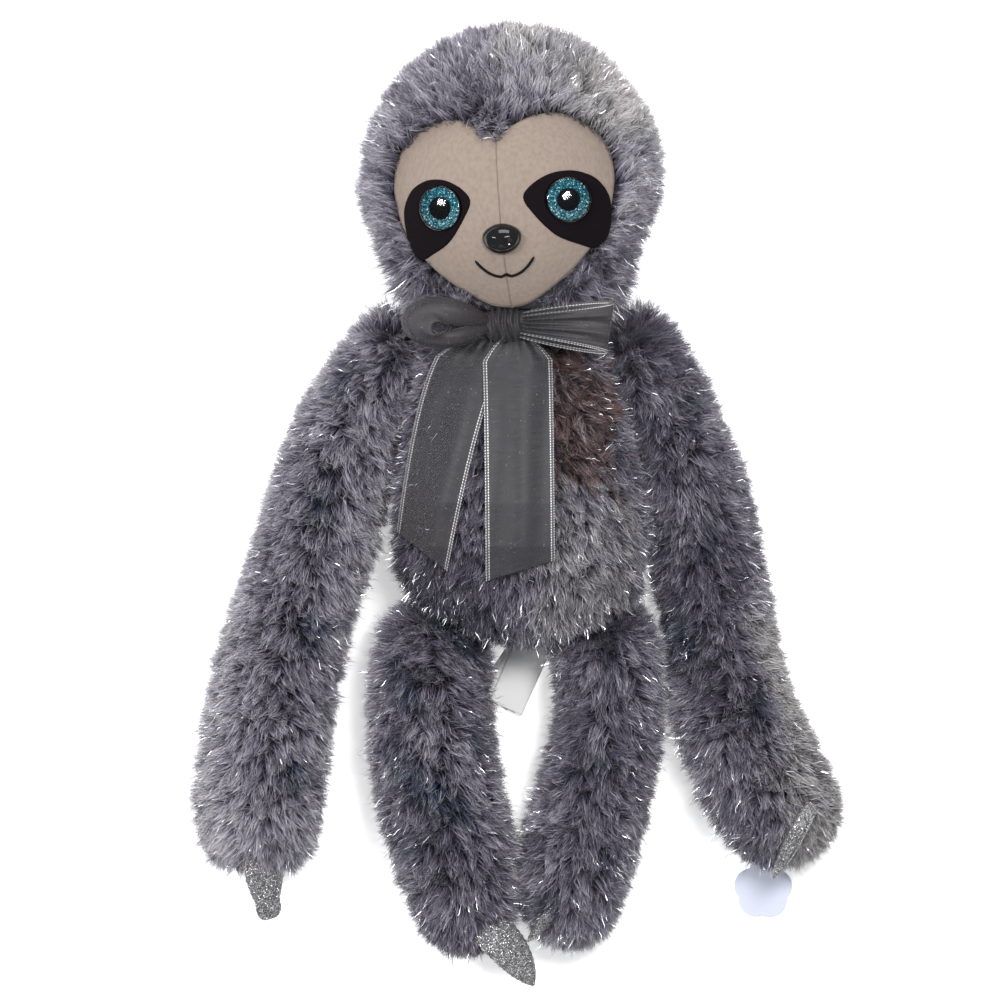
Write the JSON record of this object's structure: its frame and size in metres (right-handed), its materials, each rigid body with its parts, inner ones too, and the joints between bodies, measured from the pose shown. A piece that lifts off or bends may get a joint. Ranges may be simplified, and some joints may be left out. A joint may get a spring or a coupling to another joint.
{
  "type": "plush sloth",
  "caption": "Long-armed plush sloth with tinselled fur, velour face, glitter eyes, organza bow and silver cloth claws, lying on its back.",
  "frame": {"origin": "middle of the outline on the surface that the toy lies on", "axes": "+X to the viewer's right, +Y from the feet to the crown, +Z out of the belly, away from the surface"},
  "size_m": [0.3388, 0.5028, 0.1304],
  "materials": {
    "pile": "long tinselled pile, matt",
    "velour": "short velour, matt",
    "dark_velour": "short velour, matt",
    "thread": "satin stitched",
    "black_plastic": "gloss",
    "glitter_print": "glitter under a clear dome",
    "clear_plastic": "clear gloss",
    "washer_plastic": "matt",
    "organza": "sheer with a soft sheen",
    "silver_cloth": "glitter mesh",
    "label_tape": "satin, blank",
    "card": "blank card, matt",
    "filament": "translucent"
  },
  "bodies": {
    "torso": {"torso": "pile", "ribbon_collar": "organza", "ribbon_knot": "organza", "ribbon_loop_left": "organza", "ribbon_loop_right": "organza", "ribbon_tail_left": "organza", "ribbon_tail_right": "organza", "label_leaf_front": "label_tape", "label_leaf_middle": "label_tape", "label_leaf_back": "label_tape"},
    "head": {"head": "pile", "face_panel_left": "velour", "face_panel_right": "velour", "eye_patch_left": "dark_velour", "eye_patch_right": "dark_velour", "mouth_stitching": "thread", "eye_housing_left": "black_plastic", "eye_housing_right": "black_plastic", "eye_iris_left": "glitter_print", "eye_iris_right": "glitter_print", "eye_lens_left": "clear_plastic", "eye_lens_right": "clear_plastic", "eye_washer_left": "washer_plastic", "eye_washer_right": "washer_plastic", "nose": "black_plastic", "nose_washer": "washer_plastic"},
    "arm_left": {"arm_left": "pile", "claw_hand_left": "silver_cloth"},
    "arm_right": {"arm_right": "pile", "claw_hand_right": "silver_cloth", "tag_pin": "filament"},
    "leg_left": {"leg_left": "pile", "claw_foot_left": "silver_cloth"},
    "leg_right": {"leg_right": "pile", "claw_foot_right": "silver_cloth"},
    "hang_tag": {"hang_tag": "card"}
  },
  "joints": [
    {"name": "neck_turn", "type": "hinge", "parent": "torso", "child": "head", "pos_m": [-0.00348, 0.10214, 0.06], "axis": [0, 1, 0], "range_deg": [-30, 30]},
    {"name": "shoulder_left", "type": "hinge", "parent": "torso", "child": "arm_left", "pos_m": [-0.06768, 0.07214, 0.03595], "axis": [0, 0, -1], "range_deg": [0, 110]},
    {"name": "shoulder_right", "type": "hinge", "parent": "torso", "child": "arm_right", "pos_m": [0.05932, 0.07214, 0.03595], "axis": [0, 0, 1], "range_deg": [0, 110]},
    {"name": "hip_left", "type": "hinge", "parent": "torso", "child": "leg_left", "pos_m": [-0.04418, -0.07586, 0.03497], "axis": [-1, 0, 0], "range_deg": [0, 70]},
    {"name": "hip_right", "type": "hinge", "parent": "torso", "child": "leg_right", "pos_m": [0.04382, -0.07586, 0.03497], "axis": [-1, 0, 0], "range_deg": [0, 70]},
    {"name": "tag_swing", "type": "hinge", "parent": "arm_right", "child": "hang_tag", "pos_m": [0.13332, -0.19166, 0.0024], "axis": [0, 0, 1], "range_deg": [-30, 30]}
  ]
}
